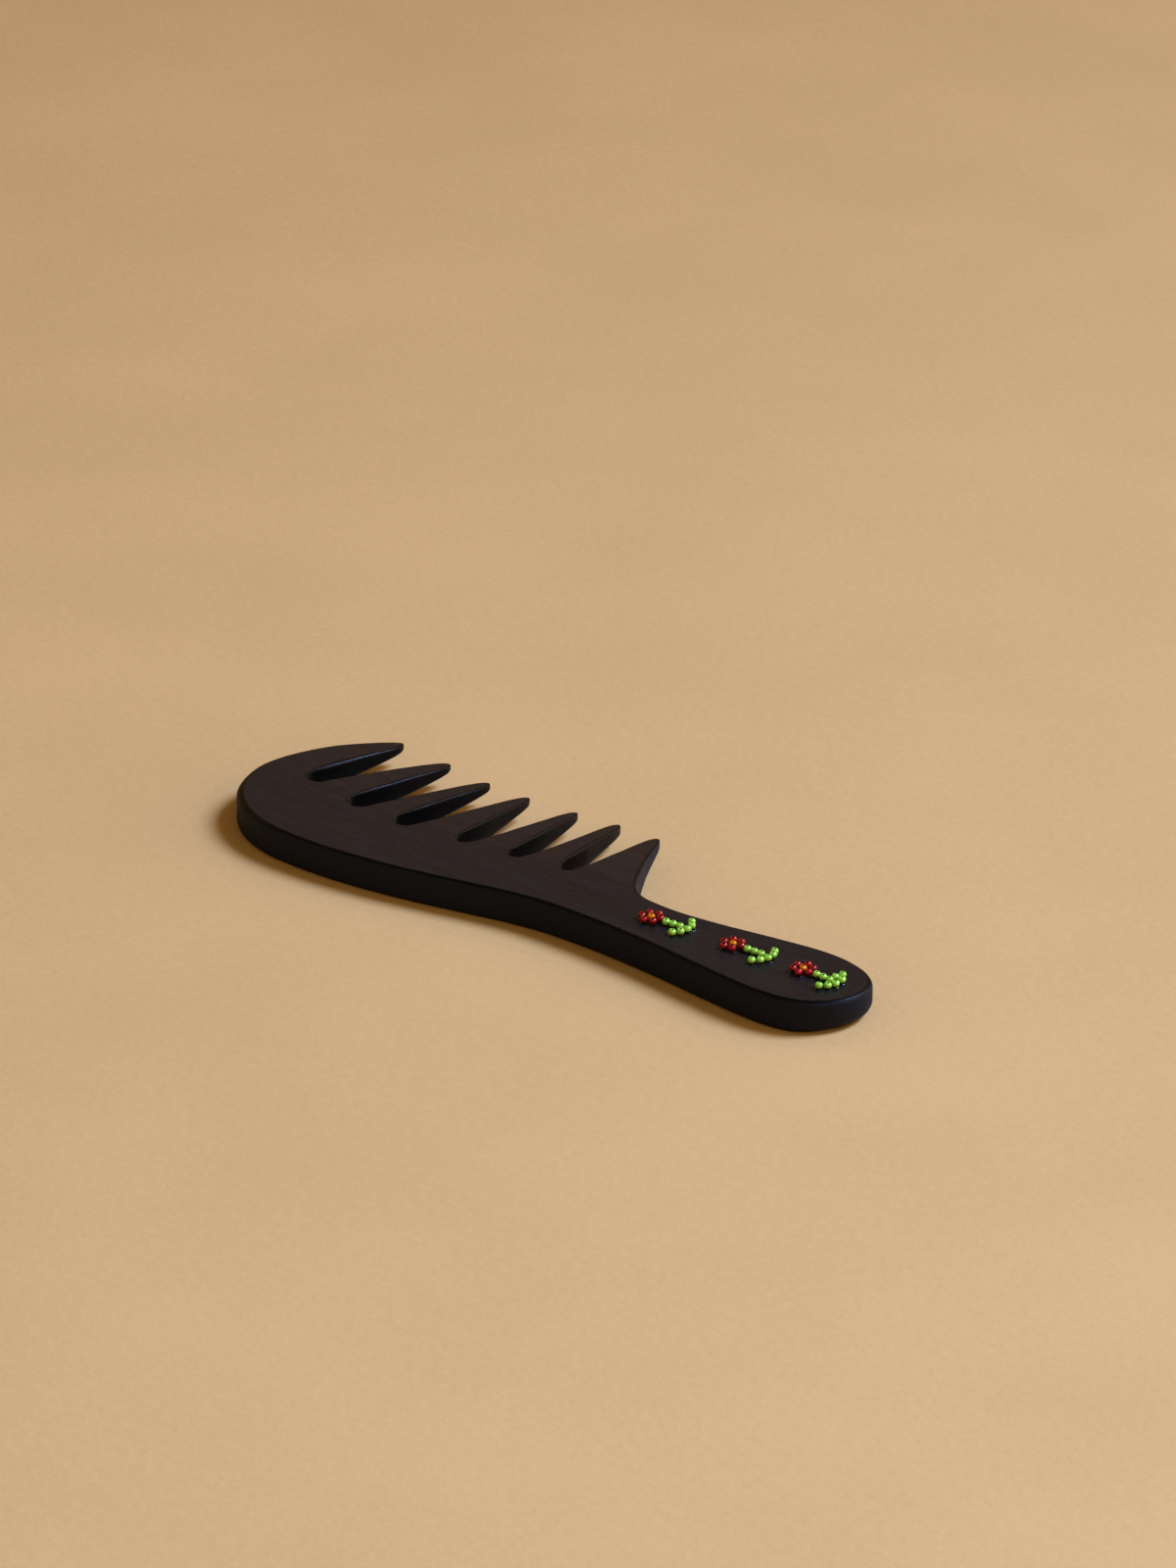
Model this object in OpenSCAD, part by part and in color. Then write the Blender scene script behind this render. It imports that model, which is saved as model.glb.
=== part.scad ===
// Wide-tooth wooden comb with a flat handle, lying flat, with three small flowers of glass
// seed beads glued on top of the handle.
// Millimetres. The origin is under the middle of the comb, on its resting face. +X runs along
// the comb to the end of the handle, +Y to the tips of the teeth and +Z up.

/* [Board] */
// Overall length of the comb, from the head to the end of the handle
comb_l = 202; // [180:0.2:230]
// Thickness of the board
board_t = 8.6; // [7.5:0.1:10]
// Rounding of the board's outer edges
edge_r = 1.3; // [0.8:0.1:1.5]
// Rounding of the upper edge at the back of the head
head_edge_r = 2; // [1.3:0.1:2.4]
// Rounding of the lower edge at the end of the handle
handle_under_r = 4.4; // [1.5:0.1:4.6]
// Rounding of the upper edges in the gaps between the teeth
gap_edge_r = 0.95; // [0.6:0.05:1.1]
// Rounding of the lower edges in the gaps
gap_under_r = 1.6; // [0.6:0.1:1.8]
// Rounding at the rough ends of the gaps
gap_end_r = 0.4; // [0.2:0.05:0.6]

/* [Teeth] */
// How far the longest tooth reaches beyond the middle line of the comb
tooth_reach = 33.9; // [30:0.1:37]
// Rounding of the edges at the tips of the teeth
tip_edge_r = 0.5; // [0.3:0.05:0.5]
// How a tooth thins towards its tip: 1 is a straight wedge and more stays thick for longer
thinning = 1.1; // [1:0.05:1.6]

/* [Beads] */
// Outer diameter of a seed bead
bead_d = 2; // [1.6:0.05:2]
// Height of a seed bead along its hole
bead_h = 1.6; // [1.2:0.05:1.6]
// Diameter of the hole through a bead
hole_d = 0.75; // [0.5:0.05:0.9]
// Spacing of neighbouring beads in a stem or a leaf
bead_pitch = 2.12; // [2.12:0.01:2.2]
// Radius of the ring of petals
petal_ring_r = 2.4; // [2.35:0.05:2.45]
// Radius of the curve that the leaf beads lie on
leaf_r = 5; // [4.8:0.1:5.2]
// Film of glue between a bead and the board
glue_t = 0.1; // [0.1:0.05:0.2]
// Largest lean of a bead
bead_lean = 9; // [0:1:12]

/* [Hidden] */
PIECES = ["petals", "centre", "stem", "leaf"];

// The tables below are scaled in plan to comb_l.

// Board edge from the root of the tooth at the head, round the back of the comb and the handle,
// to the throat between the handle and the first tooth: x, y
EDGE = [
    [-100.8, 0.3], [-101.2, -7.6], [-98.9, -15.4], [-94.1, -22.7], [-85.4, -29.3],
    [-74.5, -33], [-62.5, -33.6], [-48.5, -32.4], [-30.4, -28.9], [-14.5, -24.4],
    [0, -20.1], [10, -18.1], [25, -17], [45, -17.1], [65, -18.3],
    [80, -18.7], [89.5, -17.3], [95.8, -14], [99.7, -8.5], [100.7, -2.6],
    [99.1, 3.2], [94.3, 7.4], [86.7, 9.7], [78.5, 9.9], [64.4, 7.3],
    [50.4, 4.1], [38.2, 2], [30.2, 1.7], [24.8, 2.3],
];
THROAT = [20.1, 4.9];
// Point of EDGE at the end of the handle
HANDLE_END = 19;
// Table x and y from where to where the upper edge takes on the head's rounding, and table x
// where the lower edge takes on that of the end of the handle, which comes on slowly at first
HEAD_RUN_X = [-65, -85];
HEAD_RUN_Y = [0, -14];
HANDLE_END_RUN = [90, 99];
HANDLE_END_EASE = 1.5;
// Share of the way to the middle of a tooth's side over which its rounding grows to the full
SIDE_RUN = 2 / 3;

// Teeth from the handle to the head: tip x, tip y, tip radius, lean towards the head in
// degrees, bulge of the side towards the handle, bulge of the side towards the head,
// thickness at the tip, height of the tip's top, how much more the upper edge of the side
// towards the handle is rounded
TEETH = [
    [-0.7, 33.9, 1.1, 8, -0.9, 0.1, 2.0, 5.7, 1],
    [-13.5, 33.1, 1.1, 6, 0, -0.1, 2.2, 5.8, 1],
    [-26.3, 30.9, 1.1, 4, 0, 0.1, 1.8, 5.9, 1],
    [-41.3, 28.9, 1.2, 2, 0, 0.3, 1.6, 6, 1],
    [-55, 28.4, 1.3, -3, -0.1, 0.5, 1.6, 6, 1.2],
    [-70.9, 30, 1.5, -5, -0.1, 0.8, 1.6, 6, 1.2],
    [-89, 30.9, 1.7, -8, -0.3, 2.4, 1.6, 6, 1.8],
];

// Rounded ends of the gaps between the teeth, from the handle to the head: centre x, centre y,
// radius, tilt in degrees
GAP_ENDS = [
    [-0.5, 1.75, 2.5, 10],
    [-15, -1.3, 2.5, 5],
    [-30.6, -3.9, 2.65, 0],
    [-49.1, -6.4, 3.45, 5],
    [-65.7, -6.1, 3.75, 10],
    [-84.5, -2.7, 3.7, 5],
];

// Flowers from the throat to the end of the handle: middle x, middle y, turn of the petals,
// turn of the stem, distance from the middle to the leaf, turn of the leaf, how much wider the
// leaf's last beads are spaced, number of beads tucked inside the leaf
FLOWERS = [
    [36.2, -7, 23, 6, 11.2, -2, 1.08, 0],
    [60.9, -4.5, 10, 4, 11.5, -8, 1, 0],
    [82.4, -2.9, 46, -2, 11.3, -5, 1.27, 1],
];
PETALS = 6;
STEM_BEADS = 3;
LEAF_BEADS = 5;
// Bare board between the petals and the first bead of the stem, beyond the usual spacing
blossom_gap = 0.03;
stem_start = petal_ring_r + bead_pitch + blossom_gap;

// Each bead leans its own way. The way it leans turns from one bead to the next and along the
// comb, and how far it leans swings from one bead to the next, in degrees.
LEAN_TURN = 77;
LEAN_TURN_PER_MM = 10;
LEAN_SWING = 131;

// Steps of the smooth outline between two table points
EDGE_STEPS = 4;
FLANK_STEPS = 5;
TIP_STEPS = 3;
GAP_STEPS = 3;
GAP_ANGLES = [0, -45, -90, -135];
edge_count = EDGE_STEPS * len(EDGE);
tooth_count = 4 * FLANK_STEPS + 2 * TIP_STEPS;
gap_count = GAP_STEPS * len(GAP_ANGLES);
count = edge_count + len(TEETH) * tooth_count + len(GAP_ENDS) * gap_count;
last_tooth = len(TEETH) - 1;

// Heights on the quarter round of an edge, in degrees from its wall to its face
ROUND = [0, 30, 60, 90];
rings = 2 * len(ROUND);

WOOD = [0.18, 0.145, 0.14];
RED = [0.68, 0.05, 0.09];
AMBER = [0.9, 0.58, 0.06];
GREEN = [0.5, 0.72, 0.22];

function unit(v) = v / norm(v);
function beside(v) = [v.y, -v.x];
function direction(a) = [cos(a), sin(a)];
function wrap(i, n) = (i + n) % n;

// Point of a gap's rounded end, at an angle from the side towards the handle
function gap_end(g, angle) =
    let (row = GAP_ENDS[g])
    [row[0], row[1]] + row[2] * direction(angle + row[3]);

// Where a tooth's two sides meet the board
function root_right(i) = i == 0 ? THROAT : gap_end(i - 1, 180);
function root_left(i) = i == last_tooth ? EDGE[0] : gap_end(i, 0);

// Middle of a tooth's side, moved out by its bulge
function side_middle(a, b, bulge) = (a + b) / 2 + bulge * beside(unit(b - a));

// Points that the outline runs through, each with its number of steps to the next: x, y, steps
function tooth_knots(i) =
    let (
        row = TEETH[i],
        tip = [row[0], row[1] * tooth_reach / TEETH[0][1]],
        along = direction(90 + row[3]),
        round_middle = tip - row[2] * along,
        right = round_middle + row[2] * beside(along),
        left = round_middle - row[2] * beside(along)
    )
    [
        [root_right(i), FLANK_STEPS],
        [side_middle(root_right(i), right, row[4]), FLANK_STEPS],
        [right, TIP_STEPS],
        [tip, TIP_STEPS],
        [left, FLANK_STEPS],
        [side_middle(left, root_left(i), row[5]), FLANK_STEPS],
    ];
function gap_knots(g) = [for (angle = GAP_ANGLES) [gap_end(g, angle), GAP_STEPS]];
KNOTS = [
    for (p = EDGE) [p, EDGE_STEPS],
    for (i = [0 : last_tooth]) each concat(tooth_knots(i), i < last_tooth ? gap_knots(i) : []),
];

// Smooth closed curve through the knots, with even speed however far apart they are
function knot(i) = KNOTS[wrap(i, len(KNOTS))][0];
function curve(i, t) =
    let (
        a = knot(i - 1), b = knot(i), c = knot(i + 1), d = knot(i + 2),
        ab = sqrt(norm(b - a)), bc = sqrt(norm(c - b)), cd = sqrt(norm(d - c)),
        out = (c - b) + bc * ((b - a) / ab - (c - a) / (ab + bc)),
        in = (c - b) + bc * ((d - c) / cd - (d - b) / (bc + cd))
    )
    (2 * t ^ 3 - 3 * t ^ 2 + 1) * b + (t ^ 3 - 2 * t ^ 2 + t) * out
        + (3 * t ^ 2 - 2 * t ^ 3) * c + (t ^ 3 - t ^ 2) * in;
OUTLINE = [for (i = [0 : len(KNOTS) - 1]) for (k = [0 : KNOTS[i][1] - 1]) curve(i, k / KNOTS[i][1])];
function outline(j) = OUTLINE[wrap(j, count)];

// Middle of the outline's box, which becomes the origin, and the scale of the tables in plan
xs = [for (p = OUTLINE) p.x];
ys = [for (p = OUTLINE) p.y];
middle = [min(xs) + max(xs), min(ys) + max(ys)] / 2;
plan_k = comb_l / (max(xs) - min(xs));

// Tooth that an outline point lies on, counting from the handle, and its place from the root
function tooth_of(j) = floor((j - edge_count) / (tooth_count + gap_count));
function place_of(j) = (j - edge_count) % (tooth_count + gap_count);
function on_tooth(j) = place_of(j) > 0 && place_of(j) < tooth_count;

// How far out along its tooth a point lies, from 0 at the root to 1 at the tip. The two points
// opposite each other on the sides of a tooth share one value.
function reach(j) =
    !on_tooth(j) ? 0 :
    let (
        first = j - place_of(j),
        opposite = first + tooth_count - place_of(j),
        base = (outline(first) + outline(first + tooth_count)) / 2,
        axis = outline(first + tooth_count / 2) - base,
        across = (outline(j) + outline(opposite)) / 2 - base
    )
    max(0, min(1, across * axis / (axis * axis)));

// The board's outer edge is rounded more at the head above, and at the end of the handle below
function share(v, run) = max(0, min(1, (v - run[0]) / (run[1] - run[0])));
function at_head(p) = share(p.x, HEAD_RUN_X) * share(p.y, HEAD_RUN_Y);
function at_handle_end(p) = share(p.x, HANDLE_END_RUN) ^ HANDLE_END_EASE;
function outer(j) =
    j < edge_count
    || (tooth_of(j) == 0 && place_of(j) <= tooth_count / 2)
    || (tooth_of(j) == last_tooth && place_of(j) > tooth_count / 2);

// Along the side of a tooth the rounding grows from that of the gap's rough end
function handle_side(j) = place_of(j) <= tooth_count / 2;
function side_r(j, full) =
    let (steps = handle_side(j) ? place_of(j) : tooth_count - place_of(j))
    gap_end_r + (full - gap_end_r) * min(1, steps / (SIDE_RUN * FLANK_STEPS));
function rounding(j, s, outer_r, full) =
    (outer(j) ? outer_r : on_tooth(j) ? side_r(j, full) : gap_end_r) * (1 - s) + tip_edge_r * s;
function upper_r(j, s) =
    rounding(
        j, s, edge_r + (head_edge_r - edge_r) * at_head(outline(j)),
        gap_edge_r * (handle_side(j) && on_tooth(j) ? TEETH[tooth_of(j)][8] : 1)
    );
function lower_r(j, s) =
    rounding(j, s, edge_r + (handle_under_r - edge_r) * at_handle_end(outline(j)), gap_under_r);

// Half thickness and middle height at a point
function thinned(j, s) =
    on_tooth(j) ? [TEETH[tooth_of(j)][6] / 2, TEETH[tooth_of(j)][7] - TEETH[tooth_of(j)][6] / 2]
        : [board_t / 2, board_t / 2];
function section(j, s) = [board_t / 2, board_t / 2] * (1 - s ^ thinning) + thinned(j, s) * s ^ thinning;

// Point of ring k, counted from the top face down, over outline point j
function body_point(k, j, s) =
    let (
        upper = k < len(ROUND),
        angle = upper ? ROUND[len(ROUND) - 1 - k] : ROUND[k - len(ROUND)],
        half = section(j, s)[0],
        r_above = min(upper_r(j, s), half),
        r = upper ? r_above : min(lower_r(j, s), 2 * half - r_above),
        inwards = -beside(unit(outline(j + 1) - outline(j - 1))),
        p = plan_k * (outline(j) + r * (1 - cos(angle)) * inwards - middle),
        up = half - r + r * sin(angle)
    )
    [p.x, p.y, section(j, s)[1] + (upper ? up : -up)];

function wall_faces(k) = [
    for (j = [0 : count - 1])
        let (a = k * count + j, b = k * count + wrap(j + 1, count))
        each [[a, b, b + count], [a, b + count, a + count]]
];

// One rung after another up a tooth, and the last triangle at its tip
function tooth_faces(i) =
    let (first = edge_count + i * (tooth_count + gap_count), rungs = tooth_count / 2)
    [
        for (r = [0 : rungs - 2])
            let (
                a = first + r,
                b = wrap(first + tooth_count - r, count),
                c = first + tooth_count - r - 1
            )
            each [[a, b, c], [a, c, a + 1]],
        [first + rungs - 1, first + rungs + 1, first + rungs],
    ];

// The board's flat face is a strip of triangles between its back edge and its front edge, which
// runs past the ends of the gaps and the roots of the teeth. Both go from the head, at the
// second point of EDGE, to the end of the handle. The back edge keeps a little ahead of the
// front one, so that no triangle cuts across the side of a gap.
BACK = [for (j = [EDGE_STEPS : EDGE_STEPS * HANDLE_END]) j];
FRONT = concat(
    [for (j = [EDGE_STEPS - 1 : -1 : 0]) j],
    [for (j = [count - 1 : -1 : EDGE_STEPS * HANDLE_END + 1]) if (!on_tooth(j)) j]
);
function strip(b, f) =
    b == len(BACK) - 1 && f == len(FRONT) - 1 ? [] :
    f == len(FRONT) - 1 || (b < len(BACK) - 1 && outline(BACK[b]).x < outline(FRONT[f + 1]).x)
        ? concat([[BACK[b], FRONT[f], BACK[b + 1]]], strip(b + 1, f))
        : concat([[BACK[b], FRONT[f], FRONT[f + 1]]], strip(b, f + 1));
top_faces = concat(strip(0, 0), [for (i = [0 : last_tooth]) each tooth_faces(i)]);
under_faces = [for (f = top_faces) [for (v = [f[2], f[1], f[0]]) v + (rings - 1) * count]];

module comb_body() {
    reaches = [for (j = [0 : count - 1]) reach(j)];
    color(WOOD)
        polyhedron(
            points = [for (k = [0 : rings - 1]) for (j = [0 : count - 1]) body_point(k, j, reaches[j])],
            faces = concat([for (k = [0 : rings - 2]) each wall_faces(k)], top_faces, under_faces)
        );
}

// A bead's section is a disc that the hole cuts into, so the bead is round outside
module bead() {
    round_r = bead_h / 2;
    rotate_extrude($fn = 48)
        intersection() {
            translate([bead_d / 2 - round_r, 0]) circle(r = round_r, $fn = 48);
            translate([hole_d / 2, -bead_h]) square([bead_d, 2 * bead_h]);
        }
}

// Beads glued on the board at places in plan. Each leans a little, its own way.
module beads(places) {
    for (i = [0 : len(places) - 1])
        let (
            p = places[i],
            turn = LEAN_TURN * i + LEAN_TURN_PER_MM * p.x,
            lean = bead_lean * sin(LEAN_SWING * (i + 1))
        )
        translate([p.x, p.y, board_t + glue_t + bead_h / 2])
            rotate([0, 0, turn]) rotate([lean, 0, 0]) bead();
}

function flower_middle(f) = plan_k * ([FLOWERS[f][0], FLOWERS[f][1]] - middle);
function along_stem(f, distance) = flower_middle(f) + distance * direction(FLOWERS[f][3]);
function petal_places(f) = [
    for (i = [0 : PETALS - 1])
        flower_middle(f) + petal_ring_r * direction(FLOWERS[f][2] + 360 / PETALS * i)
];
function stem_places(f) = [for (i = [0 : STEM_BEADS - 1]) along_stem(f, stem_start + i * bead_pitch)];

// The leaf crosses the end of the stem and curves back towards the blossom
function leaf_places(f) =
    let (
        row = FLOWERS[f],
        curve_middle = along_stem(f, row[4] - leaf_r),
        step = bead_pitch / leaf_r * 180 / PI,
        half = (LEAF_BEADS - 1) / 2,
        row_places = [
            for (i = [-half : half])
                curve_middle + leaf_r * direction(row[3] + row[5] + i * step * (i > 0 ? row[6] : 1))
        ],
        a = row_places[LEAF_BEADS - 2],
        b = row_places[LEAF_BEADS - 1],
        depth = sqrt(bead_pitch ^ 2 - (b - a) * (b - a) / 4),
        tucked = (a + b) / 2 - depth * beside(unit(b - a))
    )
    concat(row_places, row[7] > 0 ? [tucked] : []);

module petals(f) color(RED) beads(petal_places(f));
module centre(f) color(AMBER) beads([flower_middle(f)]);
module stem(f) color(GREEN) beads(stem_places(f));
module leaf(f) color(GREEN) beads(leaf_places(f));

comb_body();
for (f = [0 : len(FLOWERS) - 1]) {
    petals(f);
    centre(f);
    stem(f);
    leaf(f);
}
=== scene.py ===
# A wide-tooth wooden comb with a flat handle, lying flat, with three small flowers of glass
# seed beads glued on top of the handle. The tables and the shaping are in millimetres, in the
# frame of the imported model, and every mesh is made in metres.
import math

import bpy
import numpy as np
from mathutils import Matrix, Vector, noise


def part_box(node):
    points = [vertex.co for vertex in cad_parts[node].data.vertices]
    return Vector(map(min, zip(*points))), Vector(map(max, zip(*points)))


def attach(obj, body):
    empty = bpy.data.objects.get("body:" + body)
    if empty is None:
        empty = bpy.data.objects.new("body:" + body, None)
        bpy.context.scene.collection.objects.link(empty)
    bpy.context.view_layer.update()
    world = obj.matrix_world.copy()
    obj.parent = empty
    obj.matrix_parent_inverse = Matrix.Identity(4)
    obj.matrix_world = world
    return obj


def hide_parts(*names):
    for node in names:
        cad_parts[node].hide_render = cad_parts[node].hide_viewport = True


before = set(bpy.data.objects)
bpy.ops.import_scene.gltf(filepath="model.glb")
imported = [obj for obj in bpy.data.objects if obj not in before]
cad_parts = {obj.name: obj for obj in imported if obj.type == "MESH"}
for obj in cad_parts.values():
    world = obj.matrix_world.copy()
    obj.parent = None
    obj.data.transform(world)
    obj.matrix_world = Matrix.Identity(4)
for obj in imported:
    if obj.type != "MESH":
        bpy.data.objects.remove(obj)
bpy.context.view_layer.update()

# The board and its teeth
# One board of close-grained hardwood, sawn to shape. Its edges are rounded over, the gaps are
# sawn and filed by hand, and the teeth are thinned to their tips on both faces.
MM = 0.001
BOARD_THICK = 8.6
THINNING = 1.1
# Rounding over of the outer edge, above round the head, below at the end of the handle, of the
# gaps' edges above and below, of the gaps' rough ends and of the tips of the teeth
OUTER_ROUND, HEAD_ROUND, HANDLE_UNDER_ROUND = 1.3, 2.0, 4.4
GAP_ROUND, GAP_UNDER_ROUND, GAP_END_ROUND, TIP_ROUND = 0.95, 1.6, 0.4, 0.5
# Table x and y over which the head's rounding comes on, and table x over which the handle's does
HEAD_RUN_X, HEAD_RUN_Y = (-65, -85), (0, -14)
HANDLE_END_RUN, HANDLE_END_EASE = (90, 99), 1.5
# Share of half a tooth's side over which its rounding grows from that of the gap's end
SIDE_RUN = 2 / 3

# Board edge from the root of the tooth at the head, round the back and the handle, to the
# throat between the handle and the first tooth: x, y
EDGE = (
    (-100.8, 0.3), (-101.2, -7.6), (-98.9, -15.4), (-94.1, -22.7), (-85.4, -29.3),
    (-74.5, -33), (-62.5, -33.6), (-48.5, -32.4), (-30.4, -28.9), (-14.5, -24.4),
    (0, -20.1), (10, -18.1), (25, -17), (45, -17.1), (65, -18.3),
    (80, -18.7), (89.5, -17.3), (95.8, -14), (99.7, -8.5), (100.7, -2.6),
    (99.1, 3.2), (94.3, 7.4), (86.7, 9.7), (78.5, 9.9), (64.4, 7.3),
    (50.4, 4.1), (38.2, 2), (30.2, 1.7), (24.8, 2.3),
)
THROAT = (20.1, 4.9)
# Point of the edge at the end of the handle, where the back turns into the front
HANDLE_END = 19

# Teeth from the handle to the head: tip x, tip y, tip radius, lean towards the head in
# degrees, bulge of the side towards the handle, bulge of the side towards the head, thickness
# at the tip, height of the tip's top, how much more the upper edge of the side towards the
# handle is rounded
TEETH = (
    (-0.7, 33.9, 1.1, 8, -0.9, 0.1, 2.0, 5.7, 1),
    (-13.5, 33.1, 1.1, 6, 0, -0.1, 2.2, 5.8, 1),
    (-26.3, 30.9, 1.1, 4, 0, 0.1, 1.8, 5.9, 1),
    (-41.3, 28.9, 1.2, 2, 0, 0.3, 1.6, 6, 1),
    (-55, 28.4, 1.3, -3, -0.1, 0.5, 1.6, 6, 1.2),
    (-70.9, 30, 1.5, -5, -0.1, 0.8, 1.6, 6, 1.2),
    (-89, 30.9, 1.7, -8, -0.3, 2.4, 1.6, 6, 1.8),
)
# Rounded ends of the gaps, from the handle to the head: centre x, centre y, radius, tilt
GAP_ENDS = (
    (-0.5, 1.75, 2.5, 10), (-15, -1.3, 2.5, 5), (-30.6, -3.9, 2.65, 0),
    (-49.1, -6.4, 3.45, 5), (-65.7, -6.1, 3.75, 10), (-84.5, -2.7, 3.7, 5),
)
# Turns of the points on a rounded end, in degrees
GAP_ANGLES = (0, -45, -90, -135)
# Steps of the outline between two points of a table
EDGE_STEPS, FLANK_STEPS, TIP_STEPS, GAP_STEPS = 8, 15, 6, 6
LAST_TOOTH = len(TEETH) - 1


def toward(degrees):
    """The direction turned that far from +X towards +Y."""
    return np.array((math.cos(math.radians(degrees)), math.sin(math.radians(degrees))))


def beside(v):
    """The direction square to v, on its right."""
    return np.array((v[1], -v[0])) / np.linalg.norm(v)


def gap_end(gap, degrees):
    """A point on the rounded end of a gap."""
    x, y, radius, tilt = GAP_ENDS[gap]
    return np.array((x, y)) + radius * toward(degrees + tilt)


def tooth_points(i):
    """Outline of one tooth from its root on the handle's side over its tip to its other root."""
    x, y, radius, lean, bulge_right, bulge_left = TEETH[i][:6]
    tip, along = np.array((x, y)), toward(90 + lean)
    right = tip - radius * along + radius * beside(along)
    left = tip - radius * along - radius * beside(along)
    root_right = np.array(THROAT) if i == 0 else gap_end(i - 1, 180)
    root_left = np.array(EDGE[0]) if i == LAST_TOOTH else gap_end(i, 0)
    return (
        (root_right, FLANK_STEPS),
        ((root_right + right) / 2 + bulge_right * beside(right - root_right), FLANK_STEPS),
        (right, TIP_STEPS),
        (tip, TIP_STEPS),
        (left, FLANK_STEPS),
        ((left + root_left) / 2 + bulge_left * beside(root_left - left), FLANK_STEPS),
    )


def smooth_outline(knots):
    """Closed curve through the knots, each a point and its number of steps to the next."""
    points = []
    for i, (b, steps) in enumerate(knots):
        a, c, d = (knots[(i + k) % len(knots)][0] for k in (-1, 1, 2))
        ab, bc, cd = (math.sqrt(np.linalg.norm(q - p)) for p, q in ((a, b), (b, c), (c, d)))
        leave = (c - b) + bc * ((b - a) / ab - (c - a) / (ab + bc))
        arrive = (c - b) + bc * ((d - c) / cd - (d - b) / (bc + cd))
        for t in np.arange(steps) / steps:
            points.append(
                (2 * t**3 - 3 * t**2 + 1) * b + (t**3 - 2 * t**2 + t) * leave
                + (3 * t**2 - 2 * t**3) * c + (t**3 - t**2) * arrive
            )
    return np.array(points)


knots = [(np.array(p), EDGE_STEPS) for p in EDGE]
for i in range(len(TEETH)):
    knots += tooth_points(i)
    if i < LAST_TOOTH:
        knots += [(gap_end(i, degrees), GAP_STEPS) for degrees in GAP_ANGLES]
outline = smooth_outline(knots)
COUNT = len(outline)
EDGE_COUNT = EDGE_STEPS * len(EDGE)
TOOTH_COUNT = 4 * FLANK_STEPS + 2 * TIP_STEPS
GAP_COUNT = GAP_STEPS * len(GAP_ANGLES)


def share_of(values, run):
    """0 up to the run's start, 1 from its end, and even in between."""
    start, end = run
    return np.clip((values - start) / (end - start), 0, 1)


at_head = share_of(outline[:, 0], HEAD_RUN_X) * share_of(outline[:, 1], HEAD_RUN_Y)
at_handle_end = share_of(outline[:, 0], HANDLE_END_RUN)

# The table's middle becomes the origin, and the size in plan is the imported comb's
low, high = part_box("comb_body")
middle = (outline.min(0) + outline.max(0)) / 2
plan_scale = np.array((high.x - low.x, high.y - low.y)) / MM / np.ptp(outline, axis=0)
outline = (outline - middle) * plan_scale

# Place of each outline point on its tooth, counted from the root on the handle's side
places = np.arange(COUNT)
tooth_of = (places - EDGE_COUNT) // (TOOTH_COUNT + GAP_COUNT)
place_of = (places - EDGE_COUNT) % (TOOTH_COUNT + GAP_COUNT)
on_tooth = (places >= EDGE_COUNT) & (place_of > 0) & (place_of < TOOTH_COUNT)
in_gaps = (places >= EDGE_COUNT + TOOTH_COUNT / 2) & ~(
    (tooth_of == LAST_TOOTH) & (place_of > TOOTH_COUNT / 2)
)

# How far out along its tooth each point lies, 0 at the root and 1 at the tip. The two points
# opposite each other on a tooth share one value.
reach = np.zeros(COUNT)
for j in places[on_tooth]:
    first = j - place_of[j]
    last = (first + TOOTH_COUNT) % COUNT
    base = (outline[first] + outline[last]) / 2
    axis = outline[first + TOOTH_COUNT // 2] - base
    across = (outline[j] + outline[(first + TOOTH_COUNT - place_of[j]) % COUNT]) / 2 - base
    reach[j] = min(1, max(0, across @ axis / (axis @ axis)))

# Half the thickness and the middle height at each point, drawn towards those of the tooth's tip
tip_half = np.full(COUNT, BOARD_THICK / 2)
tip_mid = np.full(COUNT, BOARD_THICK / 2)
for j in places[on_tooth]:
    tip_thick, tip_high = TEETH[tooth_of[j]][6:8]
    tip_half[j] = tip_thick / 2
    tip_mid[j] = tip_high - tip_thick / 2
thinned = reach**THINNING
half = BOARD_THICK / 2 * (1 - thinned) + tip_half * thinned
mid = BOARD_THICK / 2 * (1 - thinned) + tip_mid * thinned

# Distance along the outline, and the direction square to it into the wood
ahead = np.roll(outline, -1, 0) - np.roll(outline, 1, 0)
inward = np.stack((-ahead[:, 1], ahead[:, 0]), 1) / np.linalg.norm(ahead, axis=1)[:, None]
steps = np.linalg.norm(np.roll(outline, -1, 0) - outline, axis=1)
run = np.concatenate(([0], np.cumsum(steps)[:-1]))

# The rounding over is broken by file strokes where the gaps were worked by hand. The filing
# fades out over a few points of the outline at either end of the gaps. A row is the place in
# the noise where the unevenness is read.
FILE_UNEVEN, FILE_LENGTH, FILE_ROW = 0.14, 5.0, 3.1
FILED_FADE = 7
fade = np.ones(FILED_FADE) / FILED_FADE
filed = np.convolve(np.tile(in_gaps.astype(float), 3), fade, "same")[COUNT : 2 * COUNT]
uneven = np.array([noise.noise(Vector((u / FILE_LENGTH, FILE_ROW, 0))) for u in run])
steps_in = np.where(place_of <= TOOTH_COUNT / 2, place_of, TOOTH_COUNT - place_of)
grown = np.where(on_tooth, np.minimum(1, steps_in / (SIDE_RUN * FLANK_STEPS)), 0)
more_round = np.array([
    TEETH[t][8] if o and p <= TOOTH_COUNT / 2 else 1 for t, o, p in zip(tooth_of, on_tooth, place_of)
])


def rounding_of(outer, side):
    """Rounding over at each point, from that of the outer edge and that of a tooth's side."""
    inner = GAP_END_ROUND + (side - GAP_END_ROUND) * grown
    even = np.where(in_gaps, inner, outer) * (1 - reach) + TIP_ROUND * reach
    return even * (1 + FILE_UNEVEN * filed * uneven)


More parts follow.
